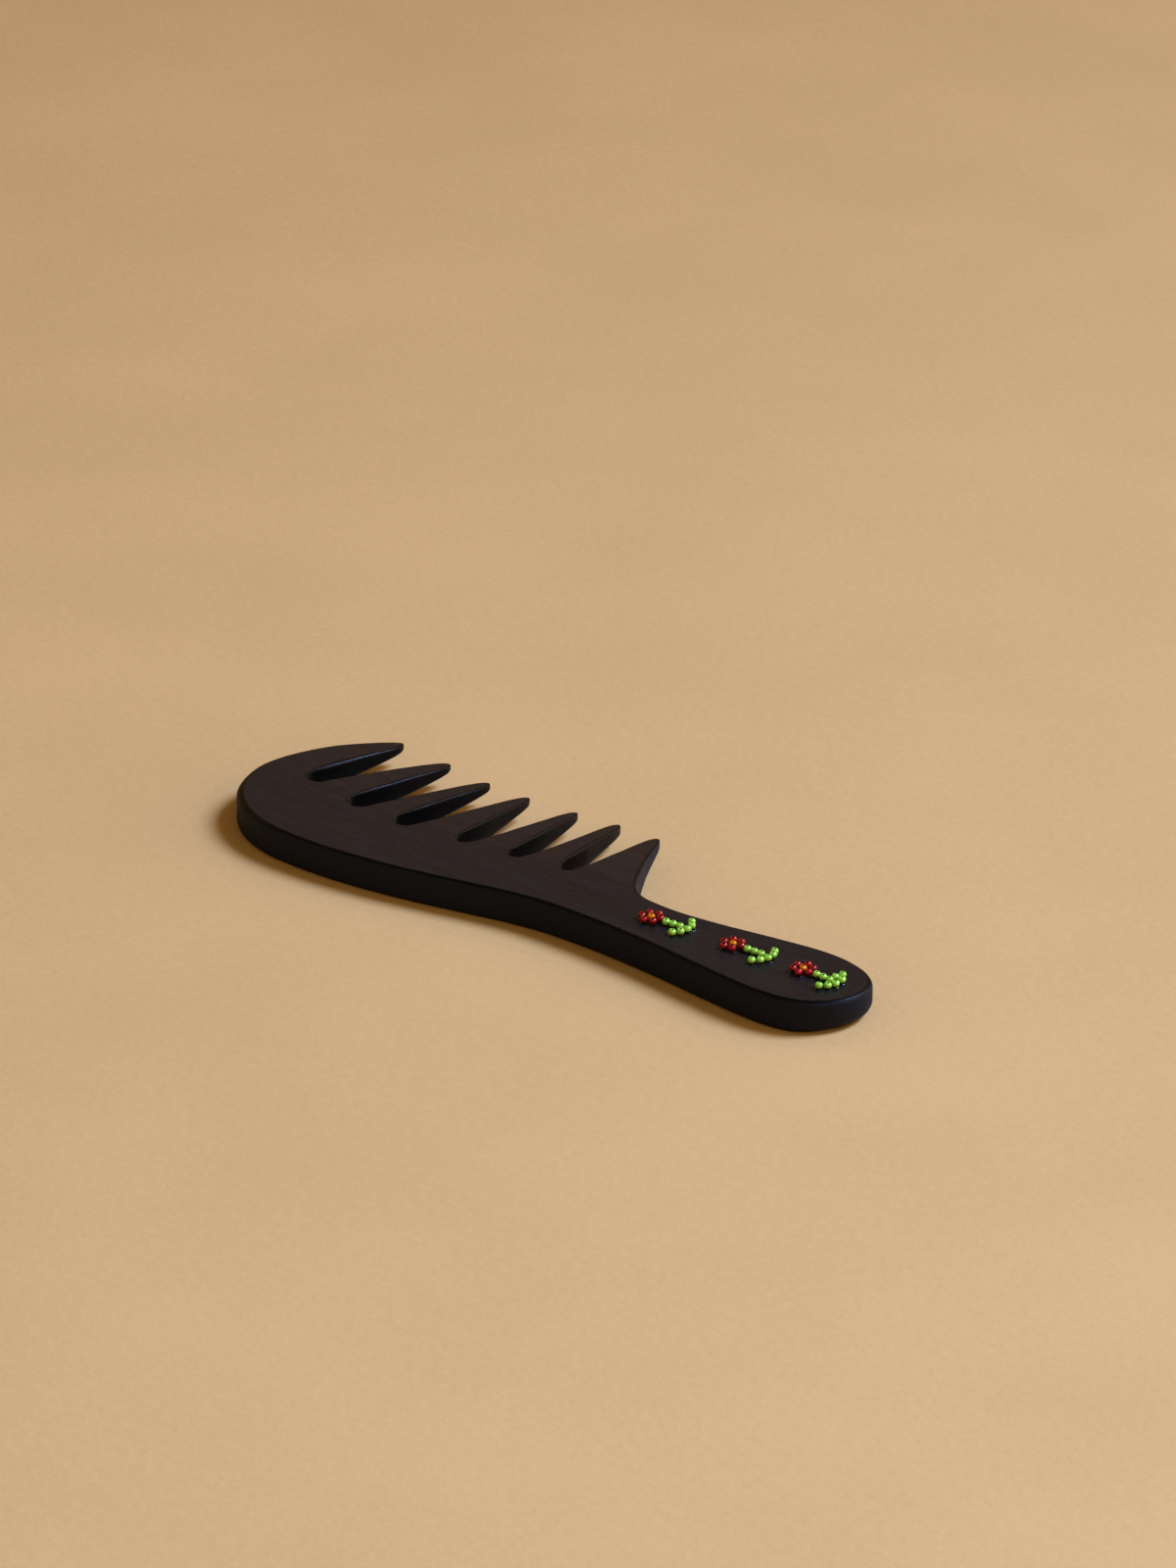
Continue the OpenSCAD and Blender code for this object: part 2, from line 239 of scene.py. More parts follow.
above = rounding_of(OUTER_ROUND + (HEAD_ROUND - OUTER_ROUND) * at_head, GAP_ROUND * more_round)
above = np.minimum(above, half)
end_round = (HANDLE_UNDER_ROUND - OUTER_ROUND) * at_handle_end**HANDLE_END_EASE
below = np.minimum(rounding_of(OUTER_ROUND + end_round, GAP_UNDER_ROUND), 2 * half - above)

# The file left shallow dents on the walls of the gaps, with smaller chips in them. They are
# deepest where the wood is torn at the ends of the gaps, and shallower towards the tips.
FILE_DEPTH = 0.055
DENT_LONG, DENT_HIGH, DENT_ROW = 4, 1.5, 7.7
DENT_EVEN = 0.8
CHIPS_FINER, CHIPPED, CHIPPED_TORN = 3, 0.4, 0.5
TORN_DEEPER, TIP_SHALLOWER = 1.6, 0.5
torn = np.where(in_gaps, 1 - grown, 0)


def dents(height, rounded):
    """How far the file went in at each point of a ring, which the rounding over evens out."""
    dent = np.zeros(COUNT)
    if rounded < 1:
        for j in places[filed > 0]:
            spot = Vector((run[j] / DENT_LONG, height[j] / DENT_HIGH, DENT_ROW))
            chip = (CHIPPED + CHIPPED_TORN * torn[j]) * noise.noise(CHIPS_FINER * spot)
            dent[j] = filed[j] * (noise.noise(spot) + chip + DENT_EVEN)
    return (
        dent * FILE_DEPTH * (1 - rounded) * (1 - TIP_SHALLOWER * reach) * (1 + TORN_DEEPER * torn)
    )


# Rings of points from the top face over its edge, down the wall and under the edge below. The
# first and last lie a little inside the flat faces, which keeps those looking flat.
ROUND_STEPS = 8
WALL_STEPS = 10
FLAT_RIM, TIP_RIM_LESS = 0.2, 0.7
rings = []


def add_ring(inset, height, rounded):
    plan = outline + (inset + dents(height, rounded))[:, None] * inward
    rings.append(np.column_stack((plan, height)))


turns = np.radians(np.linspace(90, 0, ROUND_STEPS + 1))
rim = FLAT_RIM * (1 - TIP_RIM_LESS * reach)
add_ring(above + rim, mid + half, 1)
for a in turns:
    add_ring(above * (1 - math.cos(a)), mid + half - above * (1 - math.sin(a)), math.sin(a))
for w in np.arange(1, WALL_STEPS) / WALL_STEPS:
    add_ring(0 * half, (mid + half - above) * (1 - w) + (mid - half + below) * w, 0)
for a in turns[::-1]:
    add_ring(below * (1 - math.cos(a)), mid - half + below * (1 - math.sin(a)), math.sin(a))
add_ring(below + rim, mid - half, 1)
RINGS = len(rings)
points = np.concatenate(rings)

faces = []
for k in range(RINGS - 1):
    for j in range(COUNT):
        a, b = k * COUNT + j, k * COUNT + (j + 1) % COUNT
        faces.append((a, a + COUNT, b + COUNT, b))

# Each flat face is a strip between the back of the board and its front edge, which runs past
# the gaps, and a ladder up each tooth
back = list(range(EDGE_STEPS, EDGE_STEPS * HANDLE_END + 1))
front = list(range(EDGE_STEPS - 1, -1, -1))
front += [j for j in range(COUNT - 1, EDGE_STEPS * HANDLE_END, -1) if not on_tooth[j]]
flat = []
b = f = 0
while (b, f) != (len(back) - 1, len(front) - 1):
    if f == len(front) - 1 or (
        b < len(back) - 1 and outline[back[b], 0] < outline[front[f + 1], 0]
    ):
        flat.append((back[b], back[b + 1], front[f]))
        b += 1
    else:
        flat.append((back[b], front[f + 1], front[f]))
        f += 1
for i in range(len(TEETH)):
    first = EDGE_COUNT + i * (TOOTH_COUNT + GAP_COUNT)
    for r in range(TOOTH_COUNT // 2 - 1):
        left = (first + TOOTH_COUNT - r) % COUNT
        flat.append((first + r, first + r + 1, first + TOOTH_COUNT - r - 1, left))
    tip = first + TOOTH_COUNT // 2
    flat.append((tip - 1, tip, tip + 1))
faces += flat
faces += [tuple(v + (RINGS - 1) * COUNT for v in reversed(face)) for face in flat]


def make_piece(name, points_mm, faces, marks):
    """A mesh in metres. Marks are values kept at each point, which the finish reads by name."""
    mesh = bpy.data.meshes.new(name)
    mesh.from_pydata((np.array(points_mm) * MM).tolist(), [], faces)
    mesh.validate()
    mesh.polygons.foreach_set("use_smooth", [True] * len(mesh.polygons))
    for mark_name, values in marks.items():
        values = np.array(values, dtype=np.float32)
        kind = "FLOAT" if values.ndim == 1 else "FLOAT_VECTOR"
        layer = mesh.attributes.new(mark_name, kind, "POINT")
        layer.data.foreach_set("value" if kind == "FLOAT" else "vector", values.ravel())
    piece = bpy.data.objects.new(name, mesh)
    bpy.context.scene.collection.objects.link(piece)
    return piece


# The finish finds its way by four marks: how far a point lies on the upper rounding over, how
# far it lies on a wall and on a filed wall, and where it lies along and down that wall. The
# rounding's mark comes on over some degrees below the top face, and goes over some degrees
# above the wall.
BEND_COMES, BEND_GOES = (0, 11), (30, 55)
levelness = np.concatenate(
    [[1], np.sin(turns), [0] * (WALL_STEPS - 1), np.sin(turns[::-1]), [1]]
)
on_wall = 1 - levelness**2
edge_turns = np.degrees(turns)
upper_bend = share_of(90 - edge_turns, BEND_COMES) * share_of(edge_turns, BEND_GOES)
bend = np.concatenate([[0], upper_bend, [0] * (WALL_STEPS + ROUND_STEPS + 1)])
comb_marks = {
    "rounded": np.repeat(bend, COUNT),
    "wall": np.repeat(on_wall, COUNT),
    "filed": np.repeat(on_wall, COUNT) * np.tile(filed, RINGS),
    "stroke": np.column_stack((np.tile(run, RINGS), points[:, 2], np.zeros(len(points)))),
}
comb = make_piece("comb", points, faces, comb_marks)
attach(comb, "root")
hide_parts("comb_body")


# Stained and waxed wood
# The stain is a brownish black that lets a little of the grain show, with fine pores along the board.
# The upper rounding over is painted darker still, a painted shade that stands for the dark reflection
# along that edge. The filed walls of the gaps are painted near black, as painted shade between the
# teeth. The walls' bluer, lighter stain is partly stain and partly painted light: their cool shade and
# part of their sheen. The outer walls are duller than the faces, and the filed walls are the
# glossiest.
def node(tree, kind, settings=None, **inputs):
    """Adds a node. Inputs are set by name, from a value or from another node's output."""
    made = tree.nodes.new(kind)
    for key, value in (settings or {}).items():
        setattr(made, key, value)
    for key, value in inputs.items():
        names = [s.name.replace(" ", "_") for s in made.inputs]
        socket = made.inputs[int(key[1:]) if key[1:].isdigit() else names.index(key)]
        if isinstance(value, bpy.types.NodeSocket):
            tree.links.new(value, socket)
        else:
            socket.default_value = value
    return made


def maths(tree, operation, a, b=0.0, c=0.0, clamp=False):
    settings = {"operation": operation, "use_clamp": clamp}
    return node(tree, "ShaderNodeMath", settings, _0=a, _1=b, _2=c).outputs[0]


def blend_colours(tree, share, a, b, kind="MIX"):
    settings = {"data_type": "RGBA", "blend_type": kind}
    return node(tree, "ShaderNodeMix", settings, _0=share, _6=a, _7=b).outputs[2]


def plus(tree, total, *parts):
    """A value plus others, each times its own weight."""
    for value, weight in parts:
        total = maths(tree, "ADD", total, maths(tree, "MULTIPLY", value, weight))
    return total


def mark(tree, name, output="Fac"):
    """A mark kept at the points of the piece."""
    return node(tree, "ShaderNodeAttribute", {"attribute_name": name}).outputs[output]


def noise_at(tree, place, stretch, detail=3.0, roughness=0.5, distortion=0.0):
    """Noise from about 0.3 to 0.7, with its lumps per millimetre along x, y and z."""
    scaled = node(tree, "ShaderNodeVectorMath", {"operation": "MULTIPLY"}, _0=place, _1=stretch)
    made = node(
        tree, "ShaderNodeTexNoise", None, Vector=scaled.outputs[0], Scale=1.0,
        Detail=detail, Roughness=roughness, Distortion=distortion,
    )
    return made.outputs["Fac"]


def ramp(tree, value, low, high, to_low=0.0, to_high=1.0):
    """Spreads a value from one range over another, softly, and keeps it level beyond."""
    made = node(tree, "ShaderNodeMapRange", {"interpolation_type": "SMOOTHSTEP"}, Value=value)
    for socket, number in zip(made.inputs[1:5], (low, high, to_low, to_high)):
        socket.default_value = number
    return made.outputs[0]


def place_in_mm(tree):
    """Where a point of the surface lies on the piece, in millimetres."""
    coordinates = node(tree, "ShaderNodeTexCoord").outputs["Object"]
    scaled = node(tree, "ShaderNodeVectorMath", {"operation": "SCALE"}, _0=coordinates)
    scaled.inputs["Scale"].default_value = 1 / MM
    return scaled.outputs[0]


def new_finish(name):
    """A new material, its nodes and its shader."""
    finish = bpy.data.materials.new(name)
    finish.use_nodes = True
    tree = finish.node_tree
    return finish, tree, tree.nodes["Principled BSDF"]


def set_sockets(shader, values):
    for name, value in values.items():
        shader.inputs[name].default_value = value


def raise_surface(tree, shader, height):
    """Bumps the surface by a height in millimetres."""
    bump = node(tree, "ShaderNodeBump", None, Strength=1.0, Distance=MM, Height=height)
    tree.links.new(bump.outputs[0], shader.inputs["Normal"])


def effect_group(name, inputs, outputs):
    """An empty shader node group with its inputs (name: kind) and outputs."""
    group = bpy.data.node_groups.new(name, "ShaderNodeTree")
    for in_out, sockets in (("INPUT", inputs), ("OUTPUT", outputs)):
        for socket, kind in sockets.items():
            group.interface.new_socket(socket, in_out=in_out, socket_type="NodeSocket" + kind)
    entry = group.nodes.new("NodeGroupInput")
    leave = group.nodes.new("NodeGroupOutput")
    return group, entry.outputs, leave.inputs


# Fine unevenness of a surface, and the few pale specks of dust that lie on it. Most of the
# places where a speck could lie stay bare. The mottle's noise runs mostly from low to high.
BARE_SHARE = 0.62
MOTTLE_LOW, MOTTLE_HIGH = 0.3, 0.7
dust, given, result = effect_group(
    "surface_dust",
    {"Speck Spacing": "Float", "Speck Size": "Float", "Mottle Size": "Float"},
    {"Specks": "Float", "Mottle": "Float"},
)
place = place_in_mm(dust)
cells = node(dust, "ShaderNodeVectorMath", {"operation": "SCALE"}, _0=place)
dust.links.new(maths(dust, "DIVIDE", 1.0, given["Speck Spacing"]), cells.inputs["Scale"])
grains = node(dust, "ShaderNodeTexVoronoi", {"feature": "F1"}, Vector=cells.outputs[0], Scale=1.0)
nearness = maths(dust, "MULTIPLY", grains.outputs["Distance"], given["Speck Spacing"])
chance = node(dust, "ShaderNodeSeparateColor", None, Color=grains.outputs["Color"])
size = maths(dust, "MULTIPLY", given["Speck Size"], chance.outputs["Green"])
inside = maths(dust, "LESS_THAN", nearness, size)
picked = maths(dust, "GREATER_THAN", chance.outputs["Red"], BARE_SHARE)
dust.links.new(maths(dust, "MULTIPLY", inside, picked), result["Specks"])
lumps = node(dust, "ShaderNodeVectorMath", {"operation": "SCALE"}, _0=place)
dust.links.new(maths(dust, "DIVIDE", 1.0, given["Mottle Size"]), lumps.inputs["Scale"])
mottling = node(dust, "ShaderNodeTexNoise", None, Vector=lumps.outputs[0], Scale=1.0, Detail=4.0)
dust.links.new(mottling.outputs["Fac"], result["Mottle"])

# Stains of the faces, darker and paler, and of the walls, which is partly painted cool shade and
# sheen; the painted shade of the filed walls and of the upper rounding over; the stain of the pores,
# and the dust
STAIN = (0.0106, 0.0110, 0.0165, 1)
STAIN_PALE = (0.0188, 0.0186, 0.0260, 1)
# Partly stain, partly painted light: the walls' blue tint paints their cool shade, and its lift paints
# part of their sheen
WALL_STAIN_AND_SHADE = (0.0138, 0.0158, 0.0300, 1)
# Painted shade: the filed walls of the gaps are painted near black, as the shade between the teeth
FILED_SHADE = (0.0020, 0.0024, 0.0036, 1)
# Painted shade: a dark line on the upper rounding over, standing for the dark reflection there
ROUNDED_SHADE = (0.0012, 0.0012, 0.0018, 1)
STAIN_PORES = (0.004, 0.003, 0.003, 1)
DUST = (0.30, 0.27, 0.25, 1)
# How much the walls' stain and painted shade, the filed walls' painted shade, the pores' stain and the
# upper rounding over's painted shade cover that of the faces
WALL_STAIN_AND_SHADE_COVER, FILED_SHADE_COVER, PORE_COVER, ROUNDED_SHADE_COVER = 0.85, 0.9, 0.6, (0.8, 1.0)
# Share of the streaks in the grain, over what part of the noise the grain and the pores show,
# and how much the mottle lightens and darkens the stain
STREAK_SHARE, GRAIN_SHOWS, PORE_SHOWS, MOTTLE_SHADE = 0.6, (0.36, 0.66), (0.66, 0.74), (0.92, 1.08)
# Lumps per millimetre along the board, across it and up, and then along and down a filed wall
STREAKS, FIBRES, PORES = (0.035, 0.9, 0.9), (0.22, 7.0, 7.0), (0.9, 12.0, 12.0)
SCRATCHES, CHIPS = (0.35, 5.5, 1.0), (0.8, 2.0, 1.0)
# How high or deep they stand on the surface, in millimetres
STREAK_HIGH, FIBRE_HIGH, PORE_DEEP = 0.012, 0.006, 0.012
SCRATCH_HIGH, CHIP_HIGH = 0.012, 0.03
# Roughness of the faces, how much duller a wall is, and how much a filed wall is glossier
FACE_ROUGH, WALL_DULLER, FILED_GLOSSIER = (0.29, 0.37), 0.22, 0.45

wood, tree, shader = new_finish("stained_wood")
place = place_in_mm(tree)
streaks = noise_at(tree, place, STREAKS, detail=5.0, roughness=0.6, distortion=0.4)
fibres = noise_at(tree, place, FIBRES, roughness=0.6)
pores = ramp(tree, noise_at(tree, place, PORES, detail=1.0), *PORE_SHOWS)
dusty = node(
    tree, "ShaderNodeGroup", {"node_tree": dust},
    Speck_Spacing=13.0, Speck_Size=0.34, Mottle_Size=2.6,
)
mottling = dusty.outputs["Mottle"]
rounded, walled, on_file = (mark(tree, name) for name in ("rounded", "wall", "filed"))
stroke = mark(tree, "stroke", "Vector")

lines = plus(tree, 0.0, (streaks, STREAK_SHARE), (fibres, 1 - STREAK_SHARE))
colour = blend_colours(tree, ramp(tree, lines, *GRAIN_SHOWS), STAIN, STAIN_PALE)
shade = ramp(tree, mottling, MOTTLE_LOW, MOTTLE_HIGH, *MOTTLE_SHADE)
shade = node(tree, "ShaderNodeCombineColor", None, Red=shade, Green=shade, Blue=shade)
colour = blend_colours(tree, 1.0, colour, shade.outputs[0], "MULTIPLY")
# How much painted shade lies on the upper rounding over, more or less with the mottle
painted_edge_cover = ramp(tree, mottling, MOTTLE_LOW, MOTTLE_HIGH, *ROUNDED_SHADE_COVER)
# Over the faces go the walls' stain and painted shade, the filed walls' painted shade, the pores'
# stain and the upper rounding over's painted shade
for part, cover, stain in (
    (walled, WALL_STAIN_AND_SHADE_COVER, WALL_STAIN_AND_SHADE),
    (on_file, FILED_SHADE_COVER, FILED_SHADE),
    (pores, PORE_COVER, STAIN_PORES),
    (rounded, painted_edge_cover, ROUNDED_SHADE),
):
    colour = blend_colours(tree, maths(tree, "MULTIPLY", part, cover), colour, stain)
not_rounded = maths(tree, "SUBTRACT", 1.0, rounded, clamp=True)
speck = maths(tree, "MULTIPLY", dusty.outputs["Specks"], not_rounded)
colour = blend_colours(tree, speck, colour, DUST)
tree.links.new(colour, shader.inputs["Base Color"])

rough = ramp(tree, mottling, MOTTLE_LOW, MOTTLE_HIGH, *FACE_ROUGH)
rough = plus(tree, rough, (walled, WALL_DULLER), (on_file, -FILED_GLOSSIER))
tree.links.new(rough, shader.inputs["Roughness"])

scratches = noise_at(tree, stroke, SCRATCHES, detail=4.0, roughness=0.65, distortion=0.6)
chips = noise_at(tree, stroke, CHIPS, detail=2.0, roughness=0.55, distortion=0.8)
worked = plus(tree, 0.0, (scratches, SCRATCH_HIGH), (chips, CHIP_HIGH))
height = plus(tree, 0.0, (streaks, STREAK_HIGH), (fibres, FIBRE_HIGH), (pores, -PORE_DEEP))
raise_surface(tree, shader, plus(tree, height, (on_file, worked)))
set_sockets(shader, {"IOR": 1.45, "Specular IOR Level": 0.16, "Specular Tint": (0.60, 0.66, 1.0, 1)})
comb.data.materials.append(wood)


# Glass seed beads
# Each bead is a short piece of drawn glass tube, tumbled round in the fire, about 2 mm across.
# They lie flat on the board with their holes up, no two quite alike.
BEAD_WIDE, BEAD_HIGH, HOLE_WIDE = 2.0, 1.6, 0.75
BEAD_SPACING = 2.12
# Radius of the ring of petals and of the leaf's curve, and the gap before the stem's first bead
PETAL_RING, PETALS = 2.4, 6
LEAF_CURVE, LEAF_BEADS, STEM_BEADS = 5.0, 5, 3
BLOSSOM_GAP = 0.03
GLUE_FILM = 0.1
# How far a bead leans at most, how the side it leans to turns from bead to bead and along the
# board, and how the lean swings from bead to bead, in degrees
BEAD_LEAN, LEAN_TURN, LEAN_TURN_PER_MM, LEAN_SWING = 9.0, 77, 10, 131

# Flowers from the throat to the end of the handle: middle x, middle y, turn of the petals,
# turn of the stem, distance from the middle to the leaf, turn of the leaf, how much wider the
# leaf's last beads are spaced, whether one more bead is tucked inside the leaf
FLOWERS = (
    (36.2, -7, 23, 6, 11.2, -2, 1.08, False),
    (60.9, -4.5, 10, 4, 11.5, -8, 1, False),
    (82.4, -2.9, 46, -2, 11.3, -5, 1.27, True),
)

# The softened edge of the hole: its radius, how many degrees short of it the outside stops and
# the turns of its points. The hole's heights are shares of that of its edge.
LIP, LIP_SHORT, LIP_TURNS = 0.11, 4, (30, 60, 90)
HOLE_HEIGHTS = (0.5, 0.0, -0.5)
BEAD_SIDES, BEAD_STEPS = 40, 19


def bead_section(wide, high):
    """Half section of a bead: radius and height, round outside, with a softened hole."""
    body = high / 2
    ring = wide / 2 - body
    hole = HOLE_WIDE / 2
    top = math.degrees(math.acos((hole + LIP - ring) / body)) - LIP_SHORT
    outer = [tuple(np.array((ring, 0)) + body * toward(a)) for a in np.linspace(-top, top, BEAD_STEPS)]
    rim_high = outer[-1][1]
    lips = [toward(a) for a in LIP_TURNS]
    rim = [(hole + LIP * (1 - y), rim_high - LIP * (1 - x)) for x, y in lips]
    well = [(hole, rim_high * share) for share in HOLE_HEIGHTS]
    return outer + rim + well + [(r, -h) for r, h in reversed(rim)]


# A bead's own faults: the share of the full width and height that a small one has, how far it is out
# of round, and where in the noise these are read. Round the hole the glass is painted darker, as
# painted shade of the hole, out to the well's reach, and that fades over its last part.
LEAST_WIDE, LEAST_HIGH, OUT_OF_ROUND = 0.965, 0.95, 0.02
FAULT_X, FAULT_Y, FAULT_ROWS = 3.7, 5.3, (0, 9, 18)
WELL_REACH, WELL_FADE = 0.22, 0.18


def add_bead(points, faces, marks, place, height, turn, lean, kind):
    """Turns one bead's section round its hole, gives it its own small faults and sets it."""
    fault_spots = [Vector((place[0] * FAULT_X, place[1] * FAULT_Y, row)) for row in FAULT_ROWS]
    wider, higher, own = (0.5 + noise.noise(spot) for spot in fault_spots)
    wide = BEAD_WIDE * (LEAST_WIDE + (1 - LEAST_WIDE) * wider)
    high = BEAD_HIGH * (LEAST_HIGH + (1 - LEAST_HIGH) * higher)
    section = bead_section(wide, high)
    start, n = len(points), len(section)
    turned = Matrix.Rotation(math.radians(turn), 3, "Z")
    leaning = turned @ Matrix.Rotation(math.radians(lean), 3, "X")
    seat = Vector((place[0], place[1], height))
    for s in range(BEAD_SIDES):
        x, y = toward(360 * s / BEAD_SIDES)
        out = 1 - OUT_OF_ROUND * (1 + noise.noise(Vector((x, y, kind + 5 * own))))
        for r, h in section:
            points.append(tuple(leaning @ Vector((r * out * x, r * out * y, h)) + seat))
            marks["bead"].append(own)
            # How near the hole a point lies, for the painted shade round it
            hole_nearness = (HOLE_WIDE / 2 + WELL_REACH - r) / WELL_FADE
            marks["well"].append(max(0.0, min(1.0, hole_nearness)))
    for s in range(BEAD_SIDES):
        here, beyond = start + s * n, start + (s + 1) % BEAD_SIDES * n
        for k in range(n):
            following = (k + 1) % n
            faces.append((here + k, beyond + k, beyond + following, here + following))


def bead_group(name, places, finish, kind):
    """The beads of one kind in a flower, each leaning a little its own way, as one piece."""
    points, faces, marks = [], [], {"bead": [], "well": []}
    for i, place in enumerate(places):
        turn = LEAN_TURN * i + LEAN_TURN_PER_MM * place[0]
        lean = BEAD_LEAN * math.sin(math.radians(LEAN_SWING * (i + 1)))
        height = BOARD_THICK + GLUE_FILM + BEAD_HIGH / 2
        add_bead(points, faces, marks, place, height, turn, lean, kind)
    piece = make_piece(name + "_beads", points, faces, marks)
    piece.data.materials.append(finish)
    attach(piece, "root")
    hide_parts(name)


# Colour, gloss and surface of glass that changes from bead to bead and clouds a little inside. Round
# the hole it is painted darker, as painted shade of the hole. Swirls and ripples are in lumps per
# millimetre, and the ripples' height is in millimetres.
SWIRLS, SWIRL_SHOWS = (1.1, 1.1, 0.5), (0.35, 0.65)
RIPPLES, RIPPLE_HIGH = (1.6, 1.6, 1.6), 0.02
OWN_DEEPER, HOLE_SHADE_SHARE, GLASS_ROUGH = 0.3, 0.75, (0.10, 0.20)
glass, given, result = effect_group(
    "bead_glass",
    {"Glass": "Color", "Deep": "Color", "Clouding": "Float"},
    {"Colour": "Color", "Roughness": "Float", "Height": "Float"},
)
place = place_in_mm(glass)
own, well = mark(glass, "bead"), mark(glass, "well")
swirl = noise_at(glass, place, SWIRLS, distortion=1.2)
shade = maths(glass, "MULTIPLY", ramp(glass, swirl, *SWIRL_SHOWS), given["Clouding"])
shade = maths(glass, "ADD", shade, maths(glass, "MULTIPLY", own, OWN_DEEPER), clamp=True)
tinted = blend_colours(glass, shade, given["Glass"], given["Deep"])
# Painted shade of the hole: near the hole the glass is drawn towards its deep colour
tinted = blend_colours(glass, maths(glass, "MULTIPLY", well, HOLE_SHADE_SHARE), tinted, given["Deep"])
glass.links.new(tinted, result["Colour"])
glass.links.new(ramp(glass, swirl, MOTTLE_LOW, MOTTLE_HIGH, *GLASS_ROUGH), result["Roughness"])
ripple = noise_at(glass, place, RIPPLES, detail=2.0)
glass.links.new(maths(glass, "MULTIPLY", ripple, RIPPLE_HIGH), result["Height"])


def bead_finish(name, glass_colour, deep_colour, clouding, glow, glow_mm, see_through):
    """Glass that glows a little inside, by a share and by how far each colour of light goes."""
    finish, tree, shader = new_finish(name)
    made = node(
        tree, "ShaderNodeGroup", {"node_tree": glass},
        Glass=glass_colour, Deep=deep_colour, Clouding=clouding,
    )
    tree.links.new(made.outputs["Colour"], shader.inputs["Base Color"])
    tree.links.new(made.outputs["Roughness"], shader.inputs["Roughness"])
    raise_surface(tree, shader, made.outputs["Height"])
    set_sockets(shader, {
        "IOR": 1.52,
        "Transmission Weight": see_through,
        "Subsurface Weight": glow,
        "Subsurface Radius": [far * MM for far in glow_mm],
        "Subsurface Scale": 1.0,
    })
    return finish


red_glass = bead_finish(
    "red_glass", (0.47, 0.004, 0.030, 1), (0.15, 0.001, 0.009, 1), 0.7,
    glow=0.2, glow_mm=(0.6, 0.1, 0.1), see_through=0.15,
)
amber_glass = bead_finish(
    "amber_glass", (0.85, 0.36, 0.012, 1), (0.50, 0.12, 0.002, 1), 0.6,
    glow=0.2, glow_mm=(0.6, 0.3, 0.05), see_through=0.15,
)
green_glass = bead_finish(
    "green_glass", (0.38, 0.69, 0.18, 1), (0.20, 0.45, 0.065, 1), 0.4,
    glow=0.25, glow_mm=(0.3, 0.5, 0.1), see_through=0.0,
)

# A ring of six petals round a centre bead, a stem of three beads, and a leaf that crosses
# the end of the stem and curves back towards the blossom
glue_spots = []
for number, row in enumerate(FLOWERS, 1):
    name = f"flower_{number}_"
    blossom = (np.array(row[:2]) - middle) * plan_scale
    petal_turn, stem_turn, leaf_far, leaf_turn, widening, tucked = row[2:]
    along = toward(stem_turn)
    petals = [blossom + PETAL_RING * toward(petal_turn + 360 / PETALS * i) for i in range(PETALS)]
    stem_far = PETAL_RING + BEAD_SPACING + BLOSSOM_GAP
    stem = [blossom + (stem_far + i * BEAD_SPACING) * along for i in range(STEM_BEADS)]
    curve_middle = blossom + (leaf_far - LEAF_CURVE) * along
    step = math.degrees(BEAD_SPACING / LEAF_CURVE)
    leaf_turns = [
        stem_turn + leaf_turn + i * step * (widening if i > 0 else 1)
        for i in range(-(LEAF_BEADS // 2), LEAF_BEADS // 2 + 1)
    ]
    leaf = [curve_middle + LEAF_CURVE * toward(a) for a in leaf_turns]
    if tucked:
        a, b = leaf[-2:]
        depth = math.sqrt(BEAD_SPACING**2 - (b - a) @ (b - a) / 4)
        leaf.append((a + b) / 2 - depth * beside(b - a))
    bead_group(name + "petals", petals, red_glass, 1)
    bead_group(name + "centre", [blossom], amber_glass, 2)
    bead_group(name + "stem", stem, green_glass, 3)
    bead_group(name + "leaf", leaf, green_glass, 4)
    glue_spots.append(petals + [blossom] + stem + leaf)


# Glue
# Clear glue was run under the beads. It has drawn up round each one in a low glossy rim, whose
# reach from the middle of the bead wanders a little.
GLUE_GRID, GLUE_MARGIN, GLUE_SUNK = 0.12, 2, 0.05
GLUE_WIDE, GLUE_RISE, GLUE_FILL = 1.14, 0.3, 3.2
GLUE_WANDER, WANDER_PER_MM, WANDER_ROW = 0.16, 1.1, 2.0
GLUE_TINT, GLUE_DUST = (0.93, 0.92, 0.88, 1), (0.75, 0.73, 0.70, 1)
GLUE_ROUGH, GLUE_WAVE_HIGH = (0.05, 0.16), 0.03

glue_finish, tree, shader = new_finish("clear_glue")
dusty = node(
    tree, "ShaderNodeGroup", {"node_tree": dust},
    Speck_Spacing=9.0, Speck_Size=0.1, Mottle_Size=0.8,
)
mottling = dusty.outputs["Mottle"]
rough = ramp(tree, mottling, MOTTLE_LOW, MOTTLE_HIGH, *GLUE_ROUGH)
tree.links.new(rough, shader.inputs["Roughness"])
tint = blend_colours(tree, dusty.outputs["Specks"], GLUE_TINT, GLUE_DUST)
tree.links.new(tint, shader.inputs["Base Color"])
raise_surface(tree, shader, maths(tree, "MULTIPLY", mottling, GLUE_WAVE_HIGH))
set_sockets(shader, {"IOR": 1.46, "Transmission Weight": 1.0})


def wander(x, y):
    """How the glue's reach wanders over the board, from about -1 to 1."""
    return noise.noise(Vector((x * WANDER_PER_MM, y * WANDER_PER_MM, WANDER_ROW)))


